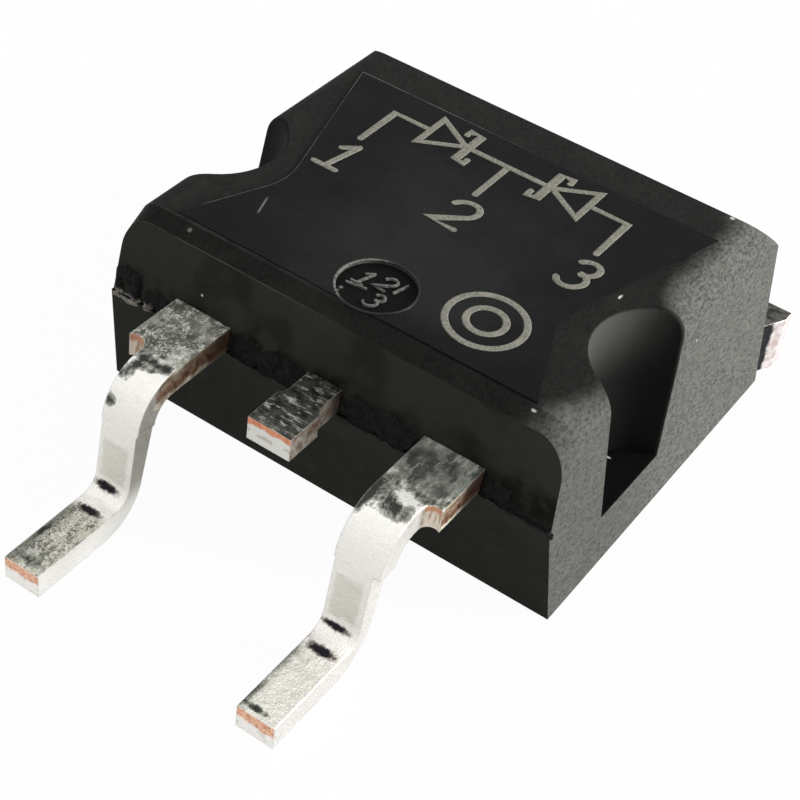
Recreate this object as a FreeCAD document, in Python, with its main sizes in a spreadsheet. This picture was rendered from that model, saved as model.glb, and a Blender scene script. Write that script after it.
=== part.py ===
import FreeCAD, Part
import math
import os
import re

import Sketcher

# Surface-mount dual schottky rectifier in a moulded power package, lengths in mm, angles in degrees.
# Each piece is drawn from the body's lower front edge: X across the body, Y back towards the tab,
# Z up from the surface that the package is soldered to. One shift then puts the origin under the
# middle of the whole package.

doc = FreeCAD.newDocument("schottky_rectifier")

# Driving dimensions
SIZES = {
    # moulding
    "body_width": 10.02,            # across the underside
    "body_length": 8.62,           # front to back along the underside
    "body_height": 4.37,           # up to the textured border of the top
    "side_draft": 4.5,             # lean of both side faces
    "rear_draft": 6.0,             # lean of the face above the tab
    "parting_reach": 0.41,         # how far the front swells out at the mould parting
    "parting_step": 0.06,          # upper mould half stands back from the lower one
    "front_inset": 0.2,            # lean of the upper front face
    "front_bevel_run": 0.3,        # narrow bevel along the front of the top
    "front_bevel_drop": 0.21,
    "bevel_run": 0.95,             # steep bevel at the back of the top
    "bevel_drop": 0.87,
    "side_radius": 0.6,            # rounding between the top and the side faces
    "corner_radius": 0.15,         # upright corners
    "plateau_rise": 0.03,          # smooth middle of the top stands proud of its border
    "plateau_front": 0.05,         # border left in front of the plateau
    "plateau_rear": 0.92,          # border left behind it, before the bevel
    "plateau_side": 0.03,          # border left beside its rear corners
    "plateau_taper": 0.24,         # front corners stand further in than the rear ones
    "waist_band": 0.64,            # border left between the plateau and a notch
    "waist_lead": 0.35,            # its narrowest place lies this far in front of the notch axis
    "waist_radius": 1.4,
    "notch_radius": 1.035,         # half-round side notches, at their floor
    "notch_taper": 7.0,
    "notch_floor": 1.26,
    "notch_position": 2.72,
    "notch_edge": 0.07,            # rounding round the notch mouths
    "disc_radius": 0.74,           # ejector-pin mark in the top
    "disc_depth": 0.06,
    "disc_position": 0.9,
    "disc_offset": 0.09,
    # heat-sink header
    "slab_thickness": 1.28,
    "tab_reach": 1.35,
    "tab_width": 8.5,
    "tab_corner": 0.3,
    "ear_proud": 0.05,             # ears reach this far past the body's side faces
    "ear_length": 0.78,
    "ear_gap": 0.03,
    "ear_chamfer": 0.25,           # its front corner is cut back this much across
    "ear_chamfer_run": 0.5,        # and this much front to back
    "pad_length": 7.75,            # bare underside, from the end of the tab
    "pad_waist_width": 7.05,
    "pad_waist_length": 1.85,
    "lock_ledge": 0.2,             # plastic grips under this rim
    "lock_height": 0.45,
    "groove_position": 7.4,
    "groove_width": 0.36,
    "groove_depth": 0.14,
    "neck_width": 1.5,
    "neck_slope": 60.0,
    "neck_setback": 0.3,
    "neck_bend": 0.25,
    "neck_root": 0.4,
    "neck_end": 0.45,
    "stub_width": 0.72,
    "stub_tip_width": 0.92,
    "stub_step": 0.95,
    "stub_taper": 0.15,
    "stub_reach": 1.92,
    # leads
    "lead_level": 2.43,            # underside of the leads where they leave the body
    "lead_thickness": 0.5,
    "lead_pitch": 2.54,
    "lead_width": 0.77,
    "inner_collar": 0.03,          # wider on each side down to just past the upper bend
    "right_collar": 0.14,          # outer side of the right lead
    "left_collar": 0.02,           # outer side of the left lead, sheared closer
    "collar_end": 2.0,
    "shoulder_overhang": 0.445,    # cut-off tie bar left on the outer side
    "shoulder_reach": 1.79,
    "right_hook_radius": 0.2,      # the tie bars are torn off in a round
    "left_hook_radius": 0.25,
    "leg_reach": 2.71,
    "leg_slope": 7.6,
    "lead_reach": 5.35,
    "leg_thinning": 0.24,          # bending left the lower end of the leg this much thinner
    "shoulder_bend": 0.5,          # inner radius of the upper bend
    "foot_bend": 0.37,             # inner radius of the lower bend
    "heel_radius": 1.0,            # outer radius of the lower bend
    "post_inner": 1.2,
    "post_width": 2.8,
    "post_front": 0.35,
    "post_length": 1.1,
    "post_corner": 0.25,
    "post_hole_radius": 0.24,
    "post_hole_inset": 0.55,
    # chips
    "chip_width": 3.0,
    "chip_length": 3.0,
    "chip_thickness": 0.3,
    "chip_centre": 2.05,
    "chip_setback": 1.15,
    "solder_thickness": 0.05,
    "solder_margin": 0.08,
    # bond wires
    "wire_diameter": 0.5,
    "wire_squash": 0.8,            # flattened feet: height of the axis as a share of the radius
    "wire_start": 1.9,             # behind the chip's front edge
    "wire_chip_foot": 0.4,
    "wire_post_foot": 0.3,
    "wire_stop": 0.25,             # behind the post's front edge
    "wire_rise": 50.0,
    "wire_fall": 30.0,
    "wire_heel": 0.4,
    "wire_crown": 0.5,
}

sizes = doc.addObject("Spreadsheet::Sheet", "Sizes")
for row, (alias, value) in enumerate(SIZES.items(), start=1):
    sizes.set(f"A{row}", alias)
    sizes.set(f"B{row}", str(value))
    sizes.setAlias(f"B{row}", alias)
doc.recompute()

# Places that several pieces share, written with the sheet's names
LEAD_TOP = "(lead_level + lead_thickness)"
FRONT_CREASE = "(-parting_reach + parting_step + front_inset)"
FRONT_TOP = f"({FRONT_CREASE} + front_bevel_run)"
BEVEL_END = "(body_length - (body_height - bevel_drop) * tan(rear_draft))"
BEVEL_START = f"({BEVEL_END} - bevel_run)"
FLAT_HALF = ("(body_width / 2 - body_height * tan(side_draft)"
             " - side_radius * tan(45 - side_draft / 2))")
NOTCH_TOP_RADIUS = "(notch_radius + (body_height - notch_floor) * tan(notch_taper))"
TAB_END = "(body_length + tab_reach)"
EAR_HALF = "(body_width / 2 + ear_proud)"
PAD_FRONT = f"({TAB_END} - pad_length)"
SLAB_FRONT = f"({PAD_FRONT} - lock_ledge)"
CHIP_FRONT = f"({SLAB_FRONT} + chip_setback)"
SOLDER_TOP = "(slab_thickness + solder_thickness)"
CHIP_TOP = f"({SOLDER_TOP} + chip_thickness)"
COLLAR_INNER = "(lead_pitch - lead_width / 2 - inner_collar)"
SHOULDER_OUTER = "(lead_pitch + lead_width / 2 + shoulder_overhang)"
MIDDLE = "(lead_reach - body_length - tab_reach) / 2"
FAR = "(body_width + body_length)"


def from_sheet(text):
    """Write an expression with the sheet's own names in front of each size."""
    return re.sub(r"[a-z_]+", lambda m: "Sizes." + m[0] if m[0] in SIZES else m[0], text)


def value_of(text):
    """Work an expression out as a plain number."""
    return float(sizes.evalExpression(from_sheet(text)))


def bind(thing, **sizes_by_property):
    """Tie properties of an object to the sheet."""
    for name, text in sizes_by_property.items():
        thing.setExpression(name.replace("__", "."), from_sheet(text))
    return thing


def new_body(label):
    body = doc.addObject("PartDesign::Body", label)
    body.Label = label
    return bind(body, Placement__Base__y=MIDDLE)


def new_sketch(body, plane, name, offset=None):
    """Start a sketch on one of the body's own planes, moved along its normal by offset."""
    sketch = body.newObject("Sketcher::SketchObject", name)
    base = [item for item in body.Origin.OriginFeatures if item.Role == plane][0]
    sketch.AttachmentSupport = [(base, "")]
    sketch.MapMode = "FlatFace"
    if offset:
        bind(sketch, AttachmentOffset__Base__z=offset)
    return sketch


def hold(sketch, edge, corner, across, up):
    """Hold one end of a sketch edge at a place worked out from the sheet."""
    for kind, text in (("DistanceX", across), ("DistanceY", up)):
        sketch.addConstraint(Sketcher.Constraint(kind, -1, 1, edge, corner, value_of(text)))
        sketch.setExpression(f"Constraints[{sketch.ConstraintCount - 1}]", from_sheet(text))


def draw_outline(sketch, corners):
    """Closed outline with straight sides and each corner held from the sheet."""
    first = sketch.GeometryCount
    spots = [FreeCAD.Vector(value_of(across), value_of(up), 0) for across, up in corners]
    count = len(corners)
    for index in range(count):
        sketch.addGeometry(Part.LineSegment(spots[index], spots[(index + 1) % count]), False)
    for index in range(count):
        following = (index + 1) % count
        sketch.addConstraint(Sketcher.Constraint("Coincident", first + index, 2, first + following, 1))
    for index, (across, up) in enumerate(corners):
        hold(sketch, first + index, 1, across, up)


def draw_circle(sketch, across, up, radius):
    centre = FreeCAD.Vector(value_of(across), value_of(up), 0)
    edge = sketch.addGeometry(Part.Circle(centre, FreeCAD.Vector(0, 0, 1), value_of(radius)), False)
    hold(sketch, edge, 3, across, up)
    sketch.addConstraint(Sketcher.Constraint("Radius", edge, value_of(radius)))
    sketch.setExpression(f"Constraints[{sketch.ConstraintCount - 1}]", from_sheet(radius))


def both_sides(corners):
    """Outline of a piece that is the same on both sides, from its right half, front to back."""
    return corners + [(f"-({across})", up) for across, up in reversed(corners)]


def box_corners(left, low, right, high):
    return [(left, low), (right, low), (right, high), (left, high)]


def pad(body, sketch, length, name, midplane=False):
    feature = body.newObject("PartDesign::Pad", name)
    feature.Profile = sketch
    feature.Midplane = midplane
    bind(feature, Length=length)
    doc.recompute()
    return feature


def pocket(body, sketch, name, length=None, midplane=False):
    """Cut a sketch into the body, through all unless a depth is given, and prove that it cut."""
    before = body.Shape.Volume
    feature = body.newObject("PartDesign::Pocket", name)
    feature.Profile = sketch
    feature.Midplane = midplane
    if length:
        bind(feature, Length=length)
    else:
        feature.Type = "ThroughAll"
    doc.recompute()
    if not body.Shape.Volume < before:
        raise RuntimeError(f"{name} cuts nothing")
    return feature


def edges_where(shape, test):
    """Names of the edges whose every sampled point passes a test."""
    names = []
    for index, edge in enumerate(shape.Edges, start=1):
        points = edge.discretize(5)
        if all(test(point) for point in points):
            names.append(f"Edge{index}")
    return names


def fillet(body, test, radius, name):
    """Round the body's edges that pass a test."""
    base = body.Tip
    names = edges_where(base.Shape, test)
    if not names:
        raise RuntimeError(f"{name} finds no edge")
    feature = body.newObject("PartDesign::Fillet", name)
    feature.Base = (base, names)
    bind(feature, Radius=radius)
    doc.recompute()
    if "Invalid" in feature.State:
        raise RuntimeError(f"{name} doesn't fit its edges")
    return feature


def near(value, wanted):
    return abs(value - wanted) < 1e-4


def build_moulding():
    """Outer form of the moulded body, still solid inside."""
    body = new_body("moulding")
    side_view = new_sketch(body, "YZ_Plane", "moulding_side_view")
    draw_outline(side_view, [
        ("0", "0"),
        ("body_length", "0"),
        ("body_length - body_height * tan(rear_draft)", "body_height"),
        (FRONT_TOP, "body_height"),
        (FRONT_CREASE, "body_height - front_bevel_drop"),
        ("-parting_reach + parting_step", "lead_level"),
        ("-parting_reach", "lead_level"),
    ])
    pad(body, side_view, "body_width", "moulding_block", midplane=True)

    front_view = new_sketch(body, "XZ_Plane", "moulding_side_draft")
    for side in ("", "-"):
        draw_outline(front_view, [
            (f"{side}body_width / 2", "0"),
            (f"{side}(body_width / 2 - 2 * body_height * tan(side_draft))", "2 * body_height"),
            (f"{side}body_width", "2 * body_height"),
            (f"{side}body_width", "0"),
        ])
    pocket(body, front_view, "moulding_sides", midplane=True)

    half = value_of("body_width / 2")
    lean = math.tan(math.radians(value_of("side_draft")))
    back_lean = math.tan(math.radians(value_of("rear_draft")))
    crease = value_of("body_height - front_bevel_drop")
    fillet(body, lambda p: near(abs(p.x), half - p.z * lean) and p.z > crease - 1e-4
           and p.y > value_of(FRONT_CREASE) - 1e-4, "side_radius", "moulding_side_rounding")
    bevel = new_sketch(body, "YZ_Plane", "rear_bevel_section")
    draw_outline(bevel, [
        (f"{BEVEL_START} - bevel_run", "body_height + bevel_drop"),
        (BEVEL_START, "body_height"),
        (BEVEL_END, "body_height - bevel_drop"),
        (f"{BEVEL_END} + bevel_run", "body_height - 2 * bevel_drop"),
        (f"{BEVEL_END} + bevel_run", "body_height + bevel_drop"),
    ])
    pocket(body, bevel, "rear_bevel", midplane=True)
    length = value_of("body_length")
    fillet(body, lambda p: near(abs(p.x), half - p.z * lean)
           and near(p.y, length - p.z * back_lean), "corner_radius", "moulding_rear_corners")

    plateau = new_sketch(body, "XY_Plane", "plateau_outline", "body_height")
    front_y = f"{FRONT_TOP} + plateau_front"
    draw_outline(plateau, both_sides([
        (f"{FLAT_HALF} - plateau_side - plateau_taper", front_y),
        (f"body_width / 2 - {NOTCH_TOP_RADIUS} - waist_band", "notch_position - waist_lead"),
        (f"{FLAT_HALF} - plateau_side", f"{BEVEL_START} - plateau_rear"),
    ]))
    pad(body, plateau, "plateau_rise", "plateau")
    waist = value_of(f"body_width / 2 - {NOTCH_TOP_RADIUS} - waist_band")
    waist_y = value_of("notch_position - waist_lead")
    fillet(body, lambda p: near(abs(p.x), waist) and near(p.y, waist_y), "waist_radius", "plateau_waist")

    for side, word in (("", "right"), ("-", "left")):
        notch = body.newObject("PartDesign::SubtractiveCone", f"notch_{word}")
        bind(notch, Radius1="notch_radius", Height="2 * (body_height - notch_floor)",
             Radius2="notch_radius + 2 * (body_height - notch_floor) * tan(notch_taper)")
        plane = [item for item in body.Origin.OriginFeatures if item.Role == "XY_Plane"][0]
        notch.AttachmentSupport = [(plane, "")]
        notch.MapMode = "FlatFace"
        bind(notch, AttachmentOffset__Base__x=f"{side}body_width / 2",
             AttachmentOffset__Base__y="notch_position", AttachmentOffset__Base__z="notch_floor")
        doc.recompute()

    middle = value_of("notch_position")
    floor = value_of("notch_floor")
    radius = value_of("notch_radius")
    flare = math.tan(math.radians(value_of("notch_taper")))
    fillet(body, lambda p: p.z > floor + 1e-3 and p.x * p.x > 1
           and near(math.hypot(abs(p.x) - half, p.y - middle), radius + (p.z - floor) * flare),
           "notch_edge", "notch_mouths")

    disc = new_sketch(body, "XY_Plane", "ejector_mark", "body_height + plateau_rise")
    draw_circle(disc, "disc_offset", "disc_position", "disc_radius")
    pocket(body, disc, "ejector_recess", "disc_depth")
    return body


def build_header():
    """Copper slab with its tab, the raised neck and the cut-off middle lead, all one piece."""
    body = new_body("heat_sink_header")
    waist_end = f"({PAD_FRONT} + pad_waist_length)"
    tab = [
        ("tab_width / 2", "body_length + ear_gap"),
        (f"{EAR_HALF} - ear_chamfer", "body_length + ear_gap"),
        (EAR_HALF, "body_length + ear_gap + ear_chamfer_run"),
        (EAR_HALF, "body_length + ear_gap + ear_length"),
        ("tab_width / 2", "body_length + ear_gap + ear_length"),
        ("tab_width / 2", f"{TAB_END} - tab_corner"),
        ("tab_width / 2 - tab_corner", TAB_END),
    ]
    bare = new_sketch(body, "XY_Plane", "bare_pad_outline")
    draw_outline(bare, both_sides([
        ("pad_waist_width / 2", PAD_FRONT),
        ("pad_waist_width / 2", waist_end),
        ("tab_width / 2", waist_end),
    ] + tab))
    pad(body, bare, "lock_height", "bare_pad")

    slab = new_sketch(body, "XY_Plane", "slab_outline", "lock_height")
    neck_line = f"({BEVEL_END} - lock_ledge)"
    draw_outline(slab, both_sides([
        ("pad_waist_width / 2 + lock_ledge", SLAB_FRONT),
        ("pad_waist_width / 2 + lock_ledge", f"{waist_end} - lock_ledge"),
        ("tab_width / 2 + lock_ledge", f"{waist_end} - lock_ledge"),
        ("tab_width / 2 + lock_ledge", neck_line),
        ("tab_width / 2", neck_line),
    ] + tab))
    pad(body, slab, "slab_thickness - lock_height", "slab")

    groove = new_sketch(body, "YZ_Plane", "lock_groove_section")
    draw_outline(groove, [
        ("groove_position - groove_width / 2", "slab_thickness"),
        ("groove_position", "slab_thickness - groove_depth"),
        ("groove_position + groove_width / 2", "slab_thickness"),
    ])
    pocket(body, groove, "lock_groove", midplane=True)

    run = "/ tan(neck_slope)"
    across = "lead_thickness / sin(neck_slope)"
    start = f"({SLAB_FRONT} - neck_setback)"
    neck = new_sketch(body, "YZ_Plane", "neck_side_view")
    corners = [
        (f"{SLAB_FRONT} + neck_root", "slab_thickness - lead_thickness"),
        (f"{SLAB_FRONT} + neck_root", "slab_thickness"),
        (start, "slab_thickness"),
        (f"{start} - ({LEAD_TOP} - slab_thickness) {run}", LEAD_TOP),
        ("-stub_reach", LEAD_TOP),
        ("-stub_reach", "lead_level"),
        (f"{start} - (lead_level - slab_thickness) {run} - {across}", "lead_level"),
        (f"{start} + lead_thickness {run} - {across}", "slab_thickness - lead_thickness"),
    ]
    draw_outline(neck, corners)
    pad(body, neck, "neck_width", "neck", midplane=True)
    spots = [(value_of(y), value_of(z)) for y, z in corners]
    for numbers, radius, name in (
            ((2, 6), "neck_bend", "neck_inner_bends"),
            ((3, 7), "neck_bend + lead_thickness", "neck_outer_bends")):
        chosen = [spots[number] for number in numbers]
        fillet(body, lambda p, chosen=chosen: any(near(p.y, y) and near(p.z, z) for y, z in chosen)
               and abs(p.x) < value_of("neck_width / 2") + 1e-4, radius, name)

    stub = new_sketch(body, "XY_Plane", "stub_plan", "lead_level - lead_thickness")
    for side in ("", "-"):
        draw_outline(stub, [
            (f"{side}stub_width / 2", "neck_end"),
            (f"{side}stub_width / 2", "-stub_step"),
            (f"{side}stub_tip_width / 2", "-stub_step - stub_taper"),
            (f"{side}stub_tip_width / 2", "-2 * stub_reach"),
            (f"{side}neck_width", "-2 * stub_reach"),
            (f"{side}neck_width", "neck_end"),
        ])
    pocket(body, stub, "stub_sides", midplane=True)
    return body


def build_lead(label, collar, hook_radius):
    """Outer lead: bond post, shoulder with its cut tie bar, two bends and the foot."""
    body = new_body(label)
    collar_outer = f"(lead_pitch + lead_width / 2 + {collar})"
    side_view = new_sketch(body, "YZ_Plane", "lead_side_view", COLLAR_INNER)
    slope = "tan(leg_slope)"
    wall = "lead_thickness / cos(leg_slope)"
    corners = [
        ("post_front + post_length / 2", "lead_level"),
        ("post_front + post_length / 2", LEAD_TOP),
        ("-leg_reach", LEAD_TOP),
        (f"-leg_reach - ({LEAD_TOP} - lead_thickness) * {slope}", "lead_thickness"),
        ("-lead_reach", "lead_thickness"),
        ("-lead_reach", "0"),
        (f"-leg_reach - {LEAD_TOP} * {slope} + {wall} - leg_thinning", "0"),
        (f"-leg_reach - lead_thickness * {slope} + {wall}", "lead_level"),
    ]
    draw_outline(side_view, corners)
    pad(body, side_view, f"{SHOULDER_OUTER} - {COLLAR_INNER}", "lead_strip")
    spots = [(value_of(y), value_of(z)) for y, z in corners]
    for number, radius, name in (
            (3, "foot_bend", "foot_bend_above"),
            (6, "heel_radius", "foot_bend_below"),
            (7, "shoulder_bend", "shoulder_bend_below"),
            (2, "shoulder_bend + lead_thickness", "shoulder_bend_above")):
        y, z = spots[number]
        fillet(body, lambda p, y=y, z=z: near(p.y, y) and near(p.z, z), radius, name)

    tie_bar = new_sketch(body, "XY_Plane", "tie_bar_cut")
    draw_outline(tie_bar, box_corners(collar_outer, "-2 * lead_reach", FAR, "-shoulder_reach"))
    pocket(body, tie_bar, "tie_bar_end", midplane=True)
    hook = new_sketch(body, "XY_Plane", "hook_cut")
    draw_circle(hook, f"{collar_outer} + {hook_radius}", "-shoulder_reach", hook_radius)
    pocket(body, hook, "hook", midplane=True)

    narrow = new_sketch(body, "XZ_Plane", "narrow_leg_cut")
    draw_outline(narrow, box_corners("lead_pitch + lead_width / 2", "-lead_level", FAR, "collar_end"))
    draw_outline(narrow, box_corners("0", "-lead_level", "lead_pitch - lead_width / 2", "collar_end"))
    pocket(body, narrow, "narrow_leg", midplane=True)

    post = new_sketch(body, "XY_Plane", "post_plan", "lead_level")
    draw_outline(post, box_corners("post_inner", "post_front",
                                   "post_inner + post_width", "post_front + post_length"))
    pad(body, post, "lead_thickness", "post")
    ends_x = [value_of("post_inner"), value_of("post_inner + post_width")]
    ends_y = [value_of("post_front"), value_of("post_front + post_length")]
    fillet(body, lambda p: any(near(p.x, x) for x in ends_x) and any(near(p.y, y) for y in ends_y),
           "post_corner", "post_corners")
    hole = new_sketch(body, "XY_Plane", "post_hole", LEAD_TOP)
    draw_circle(hole, "post_inner + post_width - post_hole_inset", "post_front + post_hole_inset",
                "post_hole_radius")
    pocket(body, hole, "anchor_hole")
    return body


def mirrored(source, label):
    """A piece drawn on the right, set on the left side of the package."""
    twin = doc.addObject("Part::Mirroring", label)
    twin.Label = label
    twin.Source = source
    twin.Normal = (1, 0, 0)
    twin.Base = (0, 0, 0)
    return twin


def build_plate(label, margin, level, thickness):
    """Flat rectangle on the slab under or at the right chip."""
    body = new_body(label)
    plan = new_sketch(body, "XY_Plane", f"{label}_plan", level)
    draw_outline(plan, box_corners(
        f"chip_centre - chip_width / 2 - {margin}", f"{CHIP_FRONT} - {margin}",
        f"chip_centre + chip_width / 2 + {margin}", f"{CHIP_FRONT} + chip_length + {margin}"))
    pad(body, plan, thickness, f"{label}_sheet")
    return body


def wire_route():
    """Straight runs and arcs of a bond wire in its upright plane, from the chip to the post.

    Each entry is a kind, a start and an end; an arc adds its centre and whether it runs clockwise.
    """
    radius = value_of("wire_diameter / 2 * wire_squash")
    start = (value_of(f"{CHIP_FRONT} + wire_start"), value_of(CHIP_TOP) + radius)
    end = (value_of("post_front + wire_stop"), value_of(LEAD_TOP) + radius)
    rise = math.radians(value_of("wire_rise"))
    fall = math.radians(value_of("wire_fall"))
    heel = value_of("wire_heel")
    crown = value_of("wire_crown")
    foot = value_of("wire_chip_foot")
    last = value_of("wire_post_foot")
    # forward is -Y, so distances are counted forward and turned back into Y at the end
    fixed_run = foot + heel * math.sin(rise) + crown * (math.sin(rise) + math.sin(fall))
    fixed_run += heel * math.sin(fall) + last
    fixed_climb = heel * (1 - math.cos(rise)) + crown * ((1 - math.cos(rise)) - (1 - math.cos(fall)))
    fixed_climb -= heel * (1 - math.cos(fall))
    run = start[0] - end[0] - fixed_run
    climb = end[1] - start[1] - fixed_climb
    turn = math.sin(rise + fall)
    up = (run * math.sin(fall) + climb * math.cos(fall)) / turn
    down = (run * math.sin(rise) - climb * math.cos(rise)) / turn
    route = []
    place = FreeCAD.Vector(start[0], start[1], 0)
    heading = 0.0

    def straight(length):
        nonlocal place
        finish = place + FreeCAD.Vector(-math.cos(heading), math.sin(heading), 0) * length
        route.append(("line", place, finish))
        place = finish

    def bend(bend_radius, angle):
        nonlocal place, heading
        way = 1 if angle > 0 else -1
        centre = place + FreeCAD.Vector(math.sin(heading), math.cos(heading), 0) * bend_radius * way
        heading += angle
        finish = centre - FreeCAD.Vector(math.sin(heading), math.cos(heading), 0) * bend_radius * way
        route.append(("arc", place, finish, centre, angle > 0))
        place = finish

    straight(foot)
    bend(heel, rise)
    straight(up)
    bend(crown, -rise - fall)
    straight(down)
    bend(heel, fall)
    straight(last)
    return route


def draw_route(sketch, route):
    """Draw the wire's runs and arcs end to end, tangent to each other and held from the sheet."""
    ends = []
    for kind, start, finish, *bend in route:
        if kind == "line":
            edge = sketch.addGeometry(Part.LineSegment(start, finish), False)
            ends.append((edge, 1, 2))
            continue
        centre, clockwise = bend
        circle = Part.Circle(centre, FreeCAD.Vector(0, 0, 1), centre.distanceToPoint(start))
        low, high = (finish, start) if clockwise else (start, finish)
        turns = [math.atan2(spot.y - centre.y, spot.x - centre.x) for spot in (low, high)]
        edge = sketch.addGeometry(Part.ArcOfCircle(circle, *turns), False)
        ends.append((edge, 2, 1) if clockwise else (edge, 1, 2))
    for (one, _, leaving), (two, entering, _) in zip(ends, ends[1:]):
        sketch.addConstraint(Sketcher.Constraint("Tangent", one, leaving, two, entering))
    foot_level = f"{CHIP_TOP} + wire_diameter / 2 * wire_squash"
    post_level = f"{LEAD_TOP} + wire_diameter / 2 * wire_squash"
    hold(sketch, 0, 1, f"{CHIP_FRONT} + wire_start", foot_level)
    hold(sketch, 0, 2, f"{CHIP_FRONT} + wire_start - wire_chip_foot", foot_level)
    hold(sketch, 6, 1, "post_front + wire_stop + wire_post_foot", post_level)
    hold(sketch, 6, 2, "post_front + wire_stop", post_level)
    for edge, radius in ((1, "wire_heel"), (3, "wire_crown"), (5, "wire_heel")):
        sketch.addConstraint(Sketcher.Constraint("Radius", edge, value_of(radius)))
        sketch.setExpression(f"Constraints[{sketch.ConstraintCount - 1}]", from_sheet(radius))
    for edge, angle in ((2, "180 - wire_rise"), (4, "180 + wire_fall")):
        sketch.addConstraint(Sketcher.Constraint("Angle", edge, math.radians(value_of(angle))))
        sketch.setExpression(f"Constraints[{sketch.ConstraintCount - 1}]",
                             from_sheet(f"({angle}) * 1 deg"))


def build_wire(label, across):
    """Bond wire with both feet pressed flat, one on a chip and one on its post."""
    body = new_body(label)
    path = new_sketch(body, "YZ_Plane", f"{label}_path", across)
    draw_route(path, wire_route())
    section = new_sketch(body, "XZ_Plane", f"{label}_section", f"-({CHIP_FRONT} + wire_start)")
    draw_circle(section, across, f"{CHIP_TOP} + wire_diameter / 2 * wire_squash", "wire_diameter / 2")
    doc.recompute()
    pipe = body.newObject("PartDesign::AdditivePipe", f"{label}_pipe")
    pipe.Profile = section
    pipe.Spine = (path, [])
    doc.recompute()
    feet = new_sketch(body, "YZ_Plane", f"{label}_feet")
    draw_outline(feet, box_corners(CHIP_FRONT, "0", f"{CHIP_FRONT} + chip_length", CHIP_TOP))
    draw_outline(feet, box_corners("0", "0", "post_front + post_length", LEAD_TOP))
    pocket(body, feet, f"{label}_press", midplane=True)
    return body


moulding = build_moulding()
header = build_header()
lead = build_lead("anode_lead_right", "right_collar", "right_hook_radius")
lead_blank = build_lead("lead_blank", "left_collar", "left_hook_radius")
chip = build_plate("schottky_chip_right", "0", SOLDER_TOP, "chip_thickness")
solder = build_plate("solder_layer_right", "solder_margin", "slab_thickness", "solder_thickness")
wire = build_wire("bond_wire_right", "chip_centre")

embedded = [header, lead, mirrored(lead_blank, "anode_lead_left")]
for piece in (solder, chip, wire):
    embedded += [piece, mirrored(piece, piece.Label.replace("right", "left"))]
doc.recompute()

core = doc.addObject("Part::MultiFuse", "embedded_pieces")
core.Shapes = embedded
moulded_body = doc.addObject("Part::Cut", "moulded_body")
moulded_body.Label = "moulded_body"
moulded_body.Base = moulding
moulded_body.Tool = core
doc.recompute()

failed = [item.Label for item in doc.Objects if {"Invalid", "Error"} & set(item.State)]
if failed:
    raise RuntimeError(f"failed: {failed}")
pieces = [moulded_body] + embedded
for piece in pieces:
    if piece.Shape.isNull() or not piece.Shape.isValid() or len(piece.Shape.Solids) != 1:
        raise RuntimeError(f"{piece.Label} is not one valid solid")

os.makedirs("parts", exist_ok=True)
for piece in pieces:
    piece.Shape.exportStep(f"parts/{piece.Label}.step")
    print(piece.Label, round(piece.Shape.Volume, 3))
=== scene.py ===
import math

import bmesh
import bpy
from mathutils import Matrix, Vector, noise


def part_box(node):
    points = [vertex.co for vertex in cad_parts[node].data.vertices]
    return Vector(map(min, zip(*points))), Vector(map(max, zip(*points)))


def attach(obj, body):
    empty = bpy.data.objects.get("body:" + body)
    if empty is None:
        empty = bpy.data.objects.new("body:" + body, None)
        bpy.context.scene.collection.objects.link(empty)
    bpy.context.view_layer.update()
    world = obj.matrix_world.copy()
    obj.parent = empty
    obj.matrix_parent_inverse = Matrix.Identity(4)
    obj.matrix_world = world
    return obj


# Looks of a surface-mount dual rectifier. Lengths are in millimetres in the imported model's frame:
# X across the package, Y back towards the tab, Z up from the surface that it is soldered to.

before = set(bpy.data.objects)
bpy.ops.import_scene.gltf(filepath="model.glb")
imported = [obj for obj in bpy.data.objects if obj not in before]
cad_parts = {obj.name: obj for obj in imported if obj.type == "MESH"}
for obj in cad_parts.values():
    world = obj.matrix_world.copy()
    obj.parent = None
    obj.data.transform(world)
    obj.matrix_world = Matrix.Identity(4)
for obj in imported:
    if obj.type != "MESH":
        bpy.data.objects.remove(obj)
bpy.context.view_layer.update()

MM = 0.001


def corners_of(node):
    """Lowest and highest corner of a node, in millimetres."""
    low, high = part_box(node)
    return low / MM, high / MM


BODY_LOW, BODY_HIGH = corners_of("moulded_body")
LEAD_LOW, LEAD_HIGH = corners_of("anode_lead_right")
HEADER_LOW = corners_of("heat_sink_header")[0]
TOP = BODY_HIGH.z
PARTING = 2.43                     # height of the seam between the two mould halves
SEAM_Y = BODY_LOW.y
SEAM_STEP = 0.06                   # how far the upper half is set back at the seam
FRONT_LEAN_LOW = 0.169             # how far the front leans back for each millimetre below the seam
FRONT_LEAN_HIGH = 0.116            # and above it
NOTCH = Vector((BODY_HIGH.x, 0.41, 1.26))   # where the axis of a side notch meets its floor
NOTCH_RADIUS = 1.035
NOTCH_FLARE = 0.1228               # how much wider it gets for each millimetre up
DISC = Vector((0.09, -1.41, TOP - 0.06))    # floor of the ejector mark
DISC_RADIUS = 0.74
SCRATCH = Vector((-2.82, -0.9))    # middle of the short scratch on the top
SCRATCH_SLANT = 0.31
LEAD_PITCH = 2.54
LEAD_TOP = LEAD_HIGH.z
STROKE = 0.135                     # width of the lines marked on the top
MARK_HEIGHT = 0.006
HAIR = 0.0006                      # keeps crossing strokes from lying in one plane
AMBIENT = 0.55                     # how strongly the white surroundings light the part
WHITENESS = 0.96                   # how much of the floor's look is its own glow

# Small white flecks on the body, the fourth one a painted glint on the notch floor: centre, and reach
# along each axis
FLECKS = (
    ((3.49, 1.34, 4.37), (0.03, 0.08, 0.05)),
    ((4.74, 2.4, 3.4), (0.05, 0.03, 0.03)),
    ((-2.83, -2.56, 3.28), (0.03, 0.05, 0.03)),
    ((4.23, 0.79, 1.26), (0.07, 0.03, 0.03)),
    ((3.95, 4.93, 4.37), (0.05, 0.05, 0.05)),
    ((3.85, -2.23, 4.32), (0.05, 0.03, 0.05)),
)


# Shading

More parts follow.
